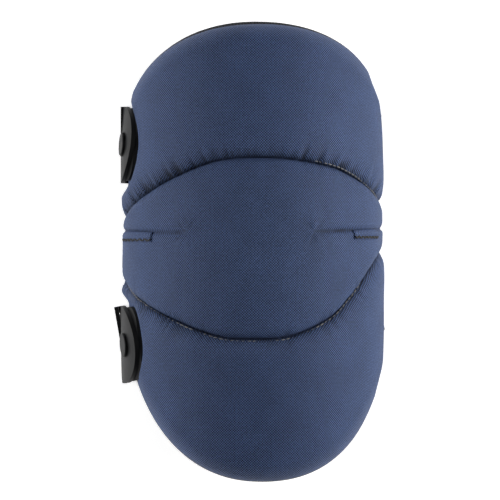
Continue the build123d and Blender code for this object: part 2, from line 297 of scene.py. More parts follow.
def edge_roll(points):
    """Carries points over the padded edge: their places, depths and edge samples."""
    edge_round = sizes().edge_round / MM
    turn_in = WALL - edge_round - EDGE_CLEARANCE
    index, inside = inside_edge(points)
    run = np.clip(edge_round - inside, 0, edge_round * math.pi / 2 + turn_in)
    angle = np.clip(run / edge_round, 0, math.pi / 2)
    beyond = np.maximum(run - edge_round * math.pi / 2, 0)
    inset = edge_round * (1 - np.sin(angle)) + EDGE_TUCK * np.clip(beyond / turn_in, 0, 1)
    depth = edge_round * (1 - np.cos(angle)) + beyond
    rolled = run > 0
    aside = ((points - EDGE[index]) * EDGE_ALONG[index]).sum(axis=1)
    feet = EDGE[index] + EDGE_ALONG[index] * aside[:, None]
    places = np.where(rolled[:, None], feet + EDGE_INWARD[index] * inset[:, None], points)
    return places, np.where(rolled, depth, 0.0), index


def pulled_in(distance, width, depth):
    """Profile of stuffing beside a sewn line: steep at the line, round at the shoulder."""
    near = np.clip(1 - distance / width, 0, 1)
    return depth * (1 - np.sqrt(1 - near ** 2))


def uneven(places, spacing, seed):
    """Seeded smooth noise along a line, from -1 to 1."""
    rolls = np.random.default_rng(seed)
    knots = np.arange(-10, 400, spacing)
    knots = knots + rolls.uniform(-0.3, 0.3, len(knots)) * spacing
    heights = rolls.uniform(-1, 1, len(knots))
    index = np.clip(np.searchsorted(knots, places) - 1, 0, len(knots) - 2)
    t = (places - knots[index]) / (knots[index + 1] - knots[index])
    t = np.clip(t, 0, 1)
    t = t * t * (3 - 2 * t)
    return heights[index] * (1 - t) + heights[index + 1] * t


def fastener_bed(strap):
    """A fastener's middle along the leg, its half width, and the tab's top round the arch."""
    low, high = box_mm(strap + "_strap_tab")
    middle = (low[1] + high[1]) / 2 - MIDDLE_Y
    height = math.hypot(middle, high[2] - BEND_CENTRE) + BEND_CENTRE
    top = -HALF_WIDTH * math.acos(min((height - WALL_TOP) / HALF_WIDTH, 1.0))
    return middle, (high[1] - low[1]) / 2, top


FASTENERS = {strap: fastener_bed(strap) for strap in ("upper", "lower")}


def fastener_dent(points):
    """How far the tabs and their plates press the left wall in."""
    dent = np.zeros(len(points))
    for middle, half, top in FASTENERS.values():
        round_end = half + 0.4
        over = np.maximum(points[:, 0] - (top - round_end), 0)
        gap = np.hypot(over, points[:, 1] - middle) - round_end
        press = np.clip(1 - gap / 8.0, 0, 1)
        press = press * press * (3 - 2 * press)
        dent = np.maximum(dent, 3.4 * press * (points[:, 0] < 0))
    return dent


def quilting(points):
    """How far the sewing pulls the cover in at each point, and how much shade is painted into the cloth
    there.
    """
    depth = sizes().seam_depth / MM
    total = np.zeros(len(points))
    crease_shade = np.zeros(len(points))
    for number, (name, line) in enumerate(SEAMS.items()):
        index, gap = nearest(points, line)
        place = index * LINE_STEP
        away = points[:, 1] - line[index, 1]
        outward = away > 0 if name == "thigh" else away < 0
        wide = np.where(outward, 8.5, 6.0) * (1 + 0.15 * uneven(place, 14, 31 + number))
        total += pulled_in(gap, wide, depth)
        total -= 0.5 * bell(gap - 12, 8) * outward
        rightward = np.clip(line[index, 0] / 30 + 0.5, 0, 1)
        fine = uneven(place + 0.15 * gap, 1.7, 41 + number)
        coarse = uneven(place - 0.15 * gap, 3.0, 51 + number)
        fold = fine * (1 - rightward) + coarse * rightward
        strength = np.where(outward, *((0.9, 0.3) if name == "thigh" else (0.5, 0.55)))
        reach = 3.6 + 3.0 * (0.5 + 0.5 * uneven(place, 5, 61 + number)) * outward
        fading = np.clip(gap / 1.0, 0, 1) * np.exp(-(gap / reach) ** 1.5)
        total += strength * fold * fading
        # Painted shade: dark along the seam's valley, beside each gather and in a broken band along the
        # seam.
        crease_shade = np.maximum(crease_shade, np.exp(-(gap / 1.25) ** 2))
        shadow = np.clip(fold + 0.1, 0, 1) * 1.3 * strength * np.exp(-(gap / reach) ** 2)
        crease_shade = np.maximum(crease_shade, shadow)
        tick = 0.55 + 0.45 * uneven(place + 0.1 * gap, 1.3, 91 + number)
        band = np.where(outward, 1.0 if name == "thigh" else 0.7, 0.35)
        crease_shade = np.maximum(crease_shade, band * bell(gap, 3.6 - 1.0 * rightward) * tick)
    for number, line in enumerate(DART_LINES.values()):
        index, gap = nearest(points, line)
        left_to_go = (len(line) - 1 - index) * LINE_STEP
        fade = np.clip(left_to_go / 14, 0, 1) ** 0.6
        total += pulled_in(gap, 4.0, 2.4) * fade
        below = line[index, 1] > points[:, 1]
        total -= 0.4 * bell(gap - 1.8, 1.4) * below * fade
        broken = 0.75 + 0.35 * uneven(index * LINE_STEP, 3.5, 81 + number)
        # Painted shade along the dart's crease.
        crease_shade = np.maximum(crease_shade, np.exp(-(gap / 0.95) ** 2) * fade ** 0.5 * broken)
        away = points - line[-1]
        ring = np.hypot(*away.T)
        bearing = np.degrees(np.arctan2(away[:, 1], away[:, 0]))
        spoke = uneven(100 + bearing / 3.2, 5, 71 + number)
        total += 0.6 * spoke * np.clip(ring / 2, 0, 1) * bell(ring, 7)
        # Painted shade in the sunk folds of the pucker at the dart's inner end.
        crease_shade = np.maximum(crease_shade, 0.55 * np.clip(spoke, 0, 1) * bell(ring - 3, 4))
    return total, np.clip(crease_shade, 0, 1)


def slow_waves(points):
    """Very gentle unevenness of the stuffing, and how far its sides bulge out between the seams."""
    x, y = points.T
    bulge = 1.9 * bell(y + 45, 34) + 1.3 * bell(y - 66, 30)
    side = np.clip((x - 55) / 30, 0, 1) * np.clip((112 - x) / 20, 0, 1)
    waves = np.sin(x / 17 + 1.3 * np.sin(y / 23)) * np.cos(y / 19 + 0.7 * np.sin(x / 29))
    return 0.22 * waves - bulge * side


def surface_normal(surface, points, nudge):
    """Which way a surface faces at points of the unrolled shell."""
    over = surface(points + (nudge, 0)) - surface(points - (nudge, 0))
    along = surface(points + (0, nudge)) - surface(points - (0, nudge))
    normal = np.cross(over, along)
    return normal / np.maximum(np.linalg.norm(normal, axis=1), 1e-9)[:, None]


def smooth_cover(points):
    """The cover before its sewing pulls it in."""
    return on_edge(*edge_roll(points))


def cover_place(points):
    """The cover's points in millimetres, from points on the unrolled shell."""
    normal = surface_normal(smooth_cover, points, 0.4)
    open_side = np.clip((inside_edge(points)[1] + 4) / 8, 0, 1)
    sunk = quilting(points)[0] * (0.3 + 0.7 * open_side) + fastener_dent(points) \
        + slow_waves(points) * open_side
    return smooth_cover(points) - normal * sunk[:, None]


def lifted(points, height):
    """Points of the cover's surface, each raised by its height in millimetres."""
    normal = surface_normal(cover_place, points, 0.3)
    return cover_place(points) + normal * np.reshape(height, (-1, 1))


def shell_in(points, depth):
    """Points a little below the padded edge's surface, where a thread lies in its valley."""
    edge_round = sizes().edge_round / MM
    places, rolled, index = edge_roll(points)
    share = np.where(rolled > 0, np.cos(np.clip(rolled / edge_round, 0, 1) * math.pi / 2), 1.0)
    return on_edge(places, rolled, index) + shell_step(places, 1.0) * (depth * share)[:, None]


# ---- meshes
def new_piece(name, vertices, faces, uv=None):
    """A mesh piece at the origin from millimetre points."""
    mesh = bpy.data.meshes.new(name)
    corners = [list(map(int, face)) for face in faces]
    mesh.from_pydata((np.asarray(vertices, float) * MM).tolist(), [], corners)
    if uv is not None:
        layer = mesh.uv_layers.new(name="UVMap")
        corner = np.empty(len(mesh.loops), int)
        mesh.loops.foreach_get("vertex_index", corner)
        layer.data.foreach_set("uv", (np.asarray(uv, float)[corner] * MM).ravel())
    mesh.update()
    mesh.shade_smooth()
    piece = bpy.data.objects.new(name, mesh)
    bpy.context.scene.collection.objects.link(piece)
    return piece


def deselect_all():
    for piece in list(bpy.context.selected_objects):
        piece.select_set(False)


def make_active(piece):
    deselect_all()
    piece.select_set(True)
    bpy.context.view_layer.objects.active = piece


def finish_modifier(piece, kind, **settings):
    """Adds a modifier and applies it at once."""
    make_active(piece)
    modifier = piece.modifiers.new(kind.title(), kind)
    for key, value in settings.items():
        setattr(modifier, key, value)
    bpy.ops.object.modifier_apply(modifier=modifier.name)


def settle_cloth(piece, pinned, pressure, frames):
    """Blows a cloth gently outward between its sewn points: how far each point moved, in mm."""
    make_active(piece)
    group = piece.vertex_groups.new(name="sewn")
    group.add([int(k) for k in np.nonzero(pinned)[0]], 1.0, "REPLACE")
    cloth = piece.modifiers.new("Cloth", "CLOTH")
    cloth.settings.vertex_group_mass = group.name
    cloth.settings.use_pressure = True
    cloth.settings.uniform_pressure_force = pressure
    cloth.settings.effector_weights.gravity = 0
    cloth.settings.quality = 6
    cloth.point_cache.frame_start = 1
    cloth.point_cache.frame_end = frames
    scene = bpy.context.scene
    for number in range(1, frames + 1):
        scene.frame_set(number)
    settled = piece.evaluated_get(bpy.context.evaluated_depsgraph_get())
    count = len(piece.data.vertices)
    before, after = np.empty(count * 3), np.empty(count * 3)
    piece.data.vertices.foreach_get("co", before)
    settled.data.vertices.foreach_get("co", after)
    moved = (after - before).reshape(-1, 3) / MM
    scene.frame_set(1)
    bpy.data.objects.remove(piece)
    return moved


def stuffed():
    """Blows a coarse cover out between its seams: how far it swells, as a table of the shell."""
    points, quads = panel_grid(STUFFING_STEP, lambda p: np.ones(len(p), bool), [], 0.0)
    pinned = inside_edge(points)[1] < 5
    for lines, reach in ((SEAMS, 4.5), (DART_LINES, 3.5)):
        for line in lines.values():
            pinned |= nearest(points, line)[1] < reach
    cloth = new_piece("stuffing", cover_place(points), quads)
    moved = settle_cloth(cloth, pinned, pressure=4.0, frames=20)
    inward = shell_step(points, 1.0)
    swell = np.clip(-(moved * inward).sum(axis=1), -SWELL_LIMIT, SWELL_LIMIT)
    column, row = np.round(points / STUFFING_STEP + TABLE_MIDDLE).astype(int).T
    table = np.zeros((column.max() + 3, row.max() + 3))
    table[column, row] = swell
    return table


def swell_at(points, table):
    """The stuffing's swell at any points, read between the table's own."""
    limit = np.array(table.shape) - 2
    x, y = np.clip(points / STUFFING_STEP + TABLE_MIDDLE, 0, limit).T
    i, j = x.astype(int), y.astype(int)
    u, v = x - i, y - j
    u, v = u * u * (3 - 2 * u), v * v * (3 - 2 * v)
    low = table[i, j] * (1 - u) + table[i + 1, j] * u
    high = table[i, j + 1] * (1 - u) + table[i + 1, j + 1] * u
    return low * (1 - v) + high * v


TABLE_MIDDLE = np.array([REACH_X, REACH_Y]) / STUFFING_STEP


def grid_quads(number):
    """The quads between the numbered points of a grid."""
    corners = (number[:-1, :-1], number[1:, :-1], number[1:, 1:], number[:-1, 1:])
    return np.stack(corners, axis=-1).reshape(-1, 4)


def panel_grid(step, keep, snap_lines, beyond):
    """A regular grid over part of the unrolled shell, as points and quads. What falls outside
    keep is drawn to the nearest point of its sewing line."""
    xs = np.arange(-REACH_X, REACH_X + step, step)
    ys = np.arange(-REACH_Y, REACH_Y + step, step)
    grid_x, grid_y = np.meshgrid(xs, ys, indexing="ij")
    points = np.stack([grid_x.ravel(), grid_y.ravel()], axis=-1)
    inside = inside_edge(points)[1]
    held = keep(points)
    good = held & (inside > -beyond)
    rows, columns = len(xs), len(ys)
    number = np.arange(rows * columns).reshape(rows, columns)
    quads = grid_quads(number)
    quads = quads[good[quads].any(axis=1) & (inside[quads] > -beyond).all(axis=1)]
    used = np.unique(quads)
    stray = used[~held[used]]
    for line in snap_lines:
        where, gap = nearest(points[stray], line)
        near = gap < 2.5 * step
        points[stray[near]] = line[where[near]]
    renumber = np.full(rows * columns, -1)
    renumber[used] = np.arange(len(used))
    return points[used], renumber[quads]


def side_of(line, points):
    """How far each point lies above a sewing line."""
    return points[:, 1] - np.interp(points[:, 0], line[:, 0], line[:, 1])


REGIONS = {
    "thigh": (lambda p: side_of(SEAMS["thigh"], p) > 0, ("thigh",)),
    "knee": (lambda p: (side_of(SEAMS["thigh"], p) <= 0) & (side_of(SEAMS["shin"], p) >= 0),
             ("thigh", "shin")),
    "shin": (lambda p: side_of(SEAMS["shin"], p) < 0, ("shin",)),
}


def clean_mesh(piece):
    """Merges points that the sewing lines drew together and drops faces with no area."""
    mesh = bmesh.new()
    mesh.from_mesh(piece.data)
    bmesh.ops.remove_doubles(mesh, verts=mesh.verts, dist=0.00008)
    bmesh.ops.dissolve_degenerate(mesh, dist=0.00004, edges=mesh.edges)
    loose = [v for v in mesh.verts if not v.link_faces]
    bmesh.ops.delete(mesh, geom=loose, context="VERTS")
    mesh.to_mesh(piece.data)
    mesh.free()


def joint_named(name):
    return next(j for j in frame["joints"] if j["name"] == name)


def bend_at(piece, section):
    """Reads the section's flex joint and works out which way the section lies, then only bakes the
    piece's place into its mesh: nothing attaches or bends it.
    """
    joint = joint_named(section + "_flex")
    pivot = Vector(joint["pos_m"])
    line = SEAMS[section]
    crown = shell_point(0.0, line[len(line) // 2, 1], 0.0)
    upright = Vector(crown * MM) - pivot
    across = Vector(joint["axis"])
    away = upright.cross(across).normalized()
    if away.y * (1 if section == "thigh" else -1) < 0:
        away.negate()
    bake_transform(piece)


def carry(piece, section):
    """Rides on the knee; a thigh or shin piece is only baked in place by bend_at."""
    if section == "knee":
        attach(piece, "pad_knee")
    else:
        bend_at(piece, section)


# ---- materials
def linear(hex_text):
    """An sRGB hex colour as the linear colour that the shader takes."""
    values = [int(hex_text[k:k + 2], 16) / 255 for k in (0, 2, 4)]
    return [v / 12.92 if v <= 0.04045 else ((v + 0.055) / 1.055) ** 2.4 for v in values] + [1.0]


def set_inputs(tree, node, inputs):
    """Gives a node's inputs their values, or links them to other nodes' outputs."""
    for key, value in inputs.items():
        if isinstance(value, bpy.types.NodeSocket):
            tree.links.new(value, node.inputs[key])
        else:
            node.inputs[key].default_value = value


def add_node(tree, kind, settings=None, inputs=None):
    """One node with its settings, and its inputs as values or as other nodes' outputs."""
    node = tree.nodes.new(kind)
    for key, value in (settings or {}).items():
        setattr(node, key, value)
    set_inputs(tree, node, inputs or {})
    return node


def start_material(name):
    """An empty material with its shader and output."""
    material = bpy.data.materials.new(name)
    material.use_nodes = True
    tree = material.node_tree
    tree.nodes.clear()
    shader = add_node(tree, "ShaderNodeBsdfPrincipled")
    add_node(tree, "ShaderNodeOutputMaterial", None, {"Surface": shader.outputs[0]})
    return material, tree, shader


def yarn_waves(tree, across, along):
    """The piece's own cloth coordinates, and a wave in each direction: pitch is half its length."""
    cloth = add_node(tree, "ShaderNodeUVMap", {"uv_map": "UVMap"}).outputs[0]
    split = add_node(tree, "ShaderNodeSeparateXYZ", None, {0: cloth})
    waves = []
    for place, pitch in zip(split.outputs, (across, along)):
        turns = add_node(tree, "ShaderNodeMath", {"operation": "MULTIPLY"},
                         {0: place, 1: math.pi / pitch})
        wave = add_node(tree, "ShaderNodeMath", {"operation": "SINE"}, {0: turns.outputs[0]})
        waves.append(wave.outputs[0])
    return cloth, waves


def nylon_material():
    """Woven nylon, plain weave of textured yarn: matte with a dry sheen where it turns away, every
    second crossing raised, so it reads as a fine diagonal check of light and dark blue. The yarns
    are drawn a little coarser than their 0.5 mm so that they show. Painted shade darkens the cloth
    in the seam valleys, beside the gathers and along the darts."""
    material, tree, shader = start_material("woven_nylon")
    pitch = sizes().weave_pitch
    cloth, (warp, weft) = yarn_waves(tree, pitch, pitch)
    crossing = add_node(tree, "ShaderNodeMath", {"operation": "MULTIPLY"}, {0: warp, 1: weft})
    raised = add_node(tree, "ShaderNodeMapRange", {"interpolation_type": "SMOOTHSTEP"},
                      {0: crossing.outputs[0], 1: -0.35, 2: 0.7})
    drift = add_node(tree, "ShaderNodeTexNoise", None,
                     {"Vector": cloth, "Scale": 70.0, "Detail": 4.0})
    speck = add_node(tree, "ShaderNodeTexNoise", None,
                     {"Vector": cloth, "Scale": 800.0, "Detail": 1.0})
    varied = add_node(tree, "ShaderNodeMath", {"operation": "MULTIPLY_ADD"},
                      {0: drift.outputs[0], 1: 0.3, 2: raised.outputs[0]})
    shaded = add_node(tree, "ShaderNodeMath", {"operation": "MULTIPLY_ADD"},
                      {0: speck.outputs[0], 1: 0.5, 2: varied.outputs[0]})
    level = add_node(tree, "ShaderNodeMath", {"operation": "SUBTRACT", "use_clamp": True},
                     {0: shaded.outputs[0], 1: 0.4})
    colour = add_node(tree, "ShaderNodeMix", {"data_type": "RGBA"},
                      {0: level.outputs[0], 6: linear(colours().nylon_dark),
                       7: linear(colours().nylon_light)})
    # Painted shade: the cover's point attribute darkens the cloth towards near black in the seam
    # valleys, beside the gathers and along the darts.
    painted_shade = add_node(tree, "ShaderNodeAttribute", {"attribute_name": "crease_shade"})
    shade_strength = add_node(tree, "ShaderNodeMath", {"operation": "MULTIPLY"},
                    {0: painted_shade.outputs["Fac"], 1: 0.86})
    shaded_cloth = add_node(tree, "ShaderNodeMix", {"data_type": "RGBA"},
                       {0: shade_strength.outputs[0], 6: colour.outputs[2], 7: linear("05080f")})
    bump = add_node(tree, "ShaderNodeBump", None,
                    {"Strength": 0.8, "Distance": 0.00022, "Height": raised.outputs[0]})
    set_inputs(tree, shader, {
        "Base Color": shaded_cloth.outputs[2], "Normal": bump.outputs[0], "Roughness": 0.62,
        "Specular IOR Level": 0.2, "Sheen Weight": 0.22, "Sheen Roughness": 0.45,
        "Sheen Tint": linear("6f84b8")})
    return material


def plastic_material():
    """Moulded acetal: near black, satin, with a faint mould grain that softens its highlights."""
    material, tree, shader = start_material("moulded_acetal")
    place = add_node(tree, "ShaderNodeTexCoord").outputs["Object"]
    grain = add_node(tree, "ShaderNodeTexNoise", None,
                     {"Vector": place, "Scale": 1800.0, "Detail": 2.0})
    wear = add_node(tree, "ShaderNodeTexNoise", None,
                    {"Vector": place, "Scale": 90.0, "Detail": 4.0})
    colour = add_node(tree, "ShaderNodeMix", {"data_type": "RGBA"},
                      {0: wear.outputs[0], 6: linear(colours().plastic), 7: linear("151618")})
    rough = add_node(tree, "ShaderNodeMapRange", None, {0: wear.outputs[0], 3: 0.4, 4: 0.55})
    bump = add_node(tree, "ShaderNodeBump", None,
                    {"Strength": 0.2, "Distance": 0.0001, "Height": grain.outputs[0]})
    set_inputs(tree, shader, {
        "Base Color": colour.outputs[2], "Normal": bump.outputs[0],
        "Roughness": rough.outputs[0], "Specular IOR Level": 0.12})
    return material


def weave_look(tree, shader, height, limits, hexes, strength, depth, **inputs):
    """Shades yarns from their hollows to their tops, and raises them."""
    shade = add_node(tree, "ShaderNodeMapRange", None, {0: height, 1: limits[0], 2: limits[1]})
    colour = add_node(tree, "ShaderNodeMix", {"data_type": "RGBA"},
                      {0: shade.outputs[0], 6: linear(hexes[0]), 7: linear(hexes[1])})
    bump = add_node(tree, "ShaderNodeBump", None,
                    {"Strength": strength, "Distance": depth, "Height": height})
    set_inputs(tree, shader, {"Base Color": colour.outputs[2], "Normal": bump.outputs[0], **inputs})


def webbing_material():
    """Woven elastic: black, ribbed along its length every 1.6 mm, matte with a dry fuzz."""
    material, tree, shader = start_material("woven_elastic")
    _, (pick, rib) = yarn_waves(tree, 0.00055, 0.0008)
    height = add_node(tree, "ShaderNodeMath", {"operation": "MULTIPLY_ADD"},
                      {0: pick, 1: 0.35, 2: rib}).outputs[0]
    weave_look(tree, shader, height, (-1.3, 1.3), ("0b0b0c", "2c2c2f"), 0.6, 0.0002,
               **{"Roughness": 0.8, "Sheen Weight": 0.2})
    return material


def liner_material():
    """Knitted spacer mesh: black with rows of small holes 2.2 mm apart."""
    material, tree, shader = start_material("knitted_mesh")
    _, (row, column) = yarn_waves(tree, 0.0022, 0.0022)
    crossing = add_node(tree, "ShaderNodeMath", {"operation": "MULTIPLY"}, {0: row, 1: column})
    hole = add_node(tree, "ShaderNodeMath", {"operation": "ABSOLUTE"}, {0: crossing.outputs[0]})
    shade = add_node(tree, "ShaderNodeMapRange", None, {0: hole.outputs[0], 1: 0.35, 2: 0.8})
    colour = add_node(tree, "ShaderNodeMix", {"data_type": "RGBA"},
                      {0: shade.outputs[0], 6: linear("2a2b2e"), 7: linear("060607")})
    bump = add_node(tree, "ShaderNodeBump", {"invert": True},
                    {"Strength": 0.7, "Distance": 0.0004, "Height": shade.outputs[0]})
    set_inputs(tree, shader, {
        "Base Color": colour.outputs[2], "Normal": bump.outputs[0], "Roughness": 0.85})
    return material


def tape_material():
    """Grosgrain binding tape: black with fine ribs 0.8 mm wide across its length."""
    material, tree, shader = start_material("grosgrain_tape")
    _, (rib, _) = yarn_waves(tree, 0.0008, 0.0008)
    weave_look(tree, shader, rib, (-1.0, 1.0), ("0d0e12", "23252c"), 0.5, 0.0002, Roughness=0.75)
    return material


def plain_material(name, hex_text, roughness, metallic=0.0):
    """A finish with its slight unevenness: bonded thread or steel."""
    material, tree, shader = start_material(name)
    place = add_node(tree, "ShaderNodeTexCoord").outputs["Object"]
    mottle = add_node(tree, "ShaderNodeTexNoise", None,
                      {"Vector": place, "Scale": 700.0, "Detail": 3.0}).outputs[0]
    base = linear(hex_text)[:3]
    colour = add_node(tree, "ShaderNodeMix", {"data_type": "RGBA"},
                      {0: mottle, 6: [c * 0.7 for c in base] + [1],
                       7: [min(c * 1.3, 1) for c in base] + [1]})
    rough = add_node(tree, "ShaderNodeMapRange", None,
                     {0: mottle, 3: roughness - 0.08, 4: roughness + 0.08})
    set_inputs(tree, shader, {
        "Base Color": colour.outputs[2], "Roughness": rough.outputs[0], "Metallic": metallic})
    return material


MATERIALS = {}


def dress(piece, finish):
    """Gives a piece its finish."""
    makers = {
        "nylon": nylon_material,
        "plastic": plastic_material,
        "webbing": webbing_material,
        "liner": liner_material,
        "tape": tape_material,
        "thread": lambda: plain_material("bonded_thread", colours().thread, 0.55),
        "black_thread": lambda: plain_material("black_thread", "07080a", 0.6),
        "steel": lambda: plain_material("stamped_steel", "8d8f92", 0.35, 1.0),
    }
    if finish not in MATERIALS:
        MATERIALS[finish] = makers[finish]()
    piece.data.materials.clear()
    piece.data.materials.append(MATERIALS[finish])


# ---- tubes, stitches and ribbons
def tube(name, vertices, uv, ring):
    """A closed tube through rings of points, with its faces turned outward."""
    rows = len(vertices) // ring
    faces = []
    for row in range(rows - 1):
        for k in range(ring):
            a, b = row * ring + k, row * ring + (k + 1) % ring
            faces.append((a, b, b + ring, a + ring))
    faces.append(range(ring)[::-1])
    faces.append(range((rows - 1) * ring, rows * ring))
    piece = new_piece(name, vertices, faces, uv=uv)
    make_active(piece)
    bpy.ops.object.mode_set(mode="EDIT")
    bpy.ops.mesh.select_all(action="SELECT")
    bpy.ops.mesh.normals_make_consistent(inside=False)
    bpy.ops.object.mode_set(mode="OBJECT")
    return piece


def capsule_chain(name, starts, ends, radius):
    """Many short round-ended stitches as one mesh, from millimetre points."""
    sides = 6
    profile = ((0.0, 0.35), (0.12, 0.85), (0.3, 1.0), (0.7, 1.0), (0.88, 0.85), (1.0, 0.35))
    vertices, faces = [], []
    for start, end in zip(starts, ends):
        axis = end - start
        length = np.linalg.norm(axis)
        axis = axis / length
        side = np.cross(axis, (0.0, 0.0, 1.0))
        if np.linalg.norm(side) < 0.1:
            side = np.cross(axis, (0.0, 1.0, 0.0))
        side /= np.linalg.norm(side)
        up = np.cross(side, axis)
        first = len(vertices)
        for place, share in profile:
            for k in range(sides):
                turn = 2 * math.pi * k / sides
                out = (math.cos(turn) * side + math.sin(turn) * up) * radius * share
                vertices.append(start + axis * length * place + out)
        for row in range(len(profile) - 1):
            for k in range(sides):
                a = first + row * sides + k
                b = first + row * sides + (k + 1) % sides
                faces.append((a, a + sides, b + sides, b))
        last = first + (len(profile) - 1) * sides
        faces.append(range(first, first + sides))
        faces.append(range(last, last + sides)[::-1])
    return new_piece(name, vertices, faces)


def ribbon(name, path, width, thickness, start, turn):
    """Folded webbing along a middle line that lies in the strap's own plane, in from the bar."""
    step = 0.35
    fine = resample(np.array(path, float), step, False)
    fine = np.vstack([fine[:1], (fine[:-2] + 2 * fine[1:-1] + fine[2:]) / 4, fine[-1:]])
    along = np.gradient(fine, axis=0)
    along /= np.hypot(*along.T)[:, None]
    face = np.stack([-along[:, 1], along[:, 0]], axis=-1)
    half, thick = width / 2, thickness / 2
    edge = half - 0.6
    lower = [(-half, -thick * 0.4), (-edge, -thick), (-half / 3, -thick), (half / 3, -thick),
             (edge, -thick), (half, -thick * 0.4)]
    section = lower + [(-aside, -height) for aside, height in lower]
    vertices, uv = [], []
    for number, (spot, up) in enumerate(zip(fine, face)):
        for aside, height in section:
            x, z = spot + up * height
            vertices.append((start[0] + x * math.cos(turn) - aside * math.sin(turn),
                             start[1] + x * math.sin(turn) + aside * math.cos(turn), z))
            uv.append((number * step, aside))
    return tube(name, vertices, uv, len(section))


def fold(centre, radius, start, end):
    """Points round a fold, between two angles in degrees."""
    turns = np.radians(np.linspace(start, end, 9))
    return [(centre[0] + radius * math.cos(t), centre[1] + radius * math.sin(t)) for t in turns]


def seam_crossings():
    """Where the sewing lines meet the pad's edge: the right and left edge sample of each seam."""
    found = {}
    for name, line in SEAMS.items():
        above = side_of(line, EDGE) > 0
        change = np.nonzero(above != np.roll(above, 1))[0]
        found[name] = {("right" if EDGE[k, 0] > 0 else "left"): int(k) for k in change}
    return found


def edge_stretch(start, end):
    """Every second edge sample from one to another, going round past the last if need be."""
    last = end if end > start else end + len(EDGE)
    return np.append(np.arange(start, last, 2), last) % len(EDGE)


# The tape's section, as how far in from the edge and how deep: its outer face, then back inside.
TAPE_SECTION = np.array([
    (0.1, WALL - 7.5), (-0.5, WALL - 6.8), (-0.6, WALL - 1.5), (0.0, WALL - 0.2),
    (1.0, WALL + 0.6), (3.0, WALL + 0.9), (6.0, WALL + 0.9), (6.5, WALL + 0.6),
    (6.0, WALL + 0.1), (3.0, WALL), (1.6, WALL - 0.4), (1.1, WALL - 1.5), (1.1, WALL - 7.2)])


# ---- operators: one for each group of pieces
class KneePadCover(Operator):
    """Sews the three quilted cover panels"""

    bl_idname = "knee_pad.cover"
    bl_label = "Cover panels"

    def execute(self, context):
        swell = stuffed()
        edge_round = sizes().edge_round / MM
        beyond = edge_round * math.pi / 2 + WALL - 2 * edge_round - EDGE_CLEARANCE
        for section, (keep, seams) in REGIONS.items():
            lines = [SEAMS[seam] for seam in seams]
            points, quads = panel_grid(sizes().grid_step / MM, keep, lines, beyond)
            outward = shell_step(points, -1.0)
            places = cover_place(points) + outward * swell_at(points, swell)[:, None]
            piece = new_piece("cover_" + section, places, quads, uv=points)
            # The point attribute holds the painted shade of the seams and darts, for the nylon's colour.
            shade_layer = piece.data.attributes.new("crease_shade", "FLOAT", "POINT")
            shade_layer.data.foreach_set("value", quilting(points)[1])
            clean_mesh(piece)
            finish_modifier(piece, "SOLIDIFY", thickness=0.0006, offset=-1.0)
            dress(piece, "nylon")
            stands_for = [section + "_" + layer for layer in ("cover", "core_foam", "comfort_foam")]
            if section == "knee":
                stands_for += ["dart_fold_left", "dart_fold_right"]
            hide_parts(*stands_for)
            carry(piece, section)
        return {"FINISHED"}


class KneePadLiner(Operator):
    """Lays the knitted liner inside the hollow"""

    bl_idname = "knee_pad.liner"
    bl_label = "Liner"

    def execute(self, context):
        for section, (keep, seams) in REGIONS.items():
            lines = [SEAMS[seam] for seam in seams]
            points, quads = panel_grid(LINER_STEP, keep, lines, -LINER_INSET)
            sunk = sum(pulled_in(nearest(points, line)[1], 7.0, 1.6) for line in SEAMS.values())
            places = shell_point(points[:, 0], points[:, 1], WALL - LINER_GAP - sunk)
            piece = new_piece("liner_" + section, places, quads[:, ::-1], uv=points)
            clean_mesh(piece)
            finish_modifier(piece, "SOLIDIFY", thickness=0.0008, offset=-1.0)
            dress(piece, "liner")
            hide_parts(section + "_liner")
            carry(piece, section)
        return {"FINISHED"}


class KneePadBinding(Operator):
    """Binds the pad's edge with folded tape"""

    bl_idname = "knee_pad.binding"
    bl_label = "Edge binding"

    def execute(self, context):
        thigh, shin = (seam_crossings()[name] for name in ("thigh", "shin"))
        parts = (
            ("thigh_binding", "thigh", thigh["right"], thigh["left"]),
            ("knee_binding_left", "knee", thigh["left"], shin["left"]),
            ("shin_binding", "shin", shin["left"], shin["right"]),
            ("knee_binding_right", "knee", shin["right"], thigh["right"]),
        )
        ring = len(TAPE_SECTION)
        inset, depth = TAPE_SECTION[:, :1], TAPE_SECTION[:, 1]
        bends = np.hypot(*np.diff(TAPE_SECTION, axis=0).T)
        girth = np.concatenate([[0], np.cumsum(bends)])
        for name, section, start, end in parts:
            vertices, uv = [], []
            for number, k in enumerate(edge_stretch(start, end)):
                at_tip = np.clip((EDGE[k, 1] - 96) / 14, 0, 1) * bell(EDGE[k, 0] + 6, 40)
                outward = TAPE_LIP * at_tip * (inset < 0.5)
                spots = EDGE[k] + EDGE_INWARD[k] * (inset - outward)
                vertices.append(on_edge(spots, depth, np.full(ring, k)))
                uv.append(np.stack([np.full(ring, number * 2 * LINE_STEP), girth], axis=-1))
            piece = tube(name + "_tape", np.concatenate(vertices), np.concatenate(uv), ring)
            dress(piece, "tape")
            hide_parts(name)
            carry(piece, section)
        return {"FINISHED"}


class KneePadStitches(Operator):
    """Runs the quilting thread along both seams"""

    bl_idname = "knee_pad.stitches"
    bl_label = "Quilting stitches"

    def execute(self, context):
        beside, radius = 0.55, 0.38
        stride = int(sizes().stitch_length / MM / LINE_STEP)
        for name, line in SEAMS.items():
            within = inside_edge(line)[1] > 1.5
            line = line[within] + (0, beside if name == "thigh" else -beside)
            at = np.arange((len(line) - 1) // stride) * stride
            if name == "thigh":
                shown = np.clip(line[at, 0] / 40, 0, 1)
            else:
                shown = 0.8 + 0.2 * uneven(at * LINE_STEP, 9, 7)
            depth = sizes().seam_depth / MM - 0.7 - 1.5 * shown
            start = shell_in(line[at], depth)
            end = shell_in(line[at + stride - 1], depth + 0.25)
            piece = capsule_chain(name + "_seam_stitches", start, end, radius)
            dress(piece, "thread")
            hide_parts(name + "_quilting_thread")
            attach(piece, "pad_knee")
        return {"FINISHED"}


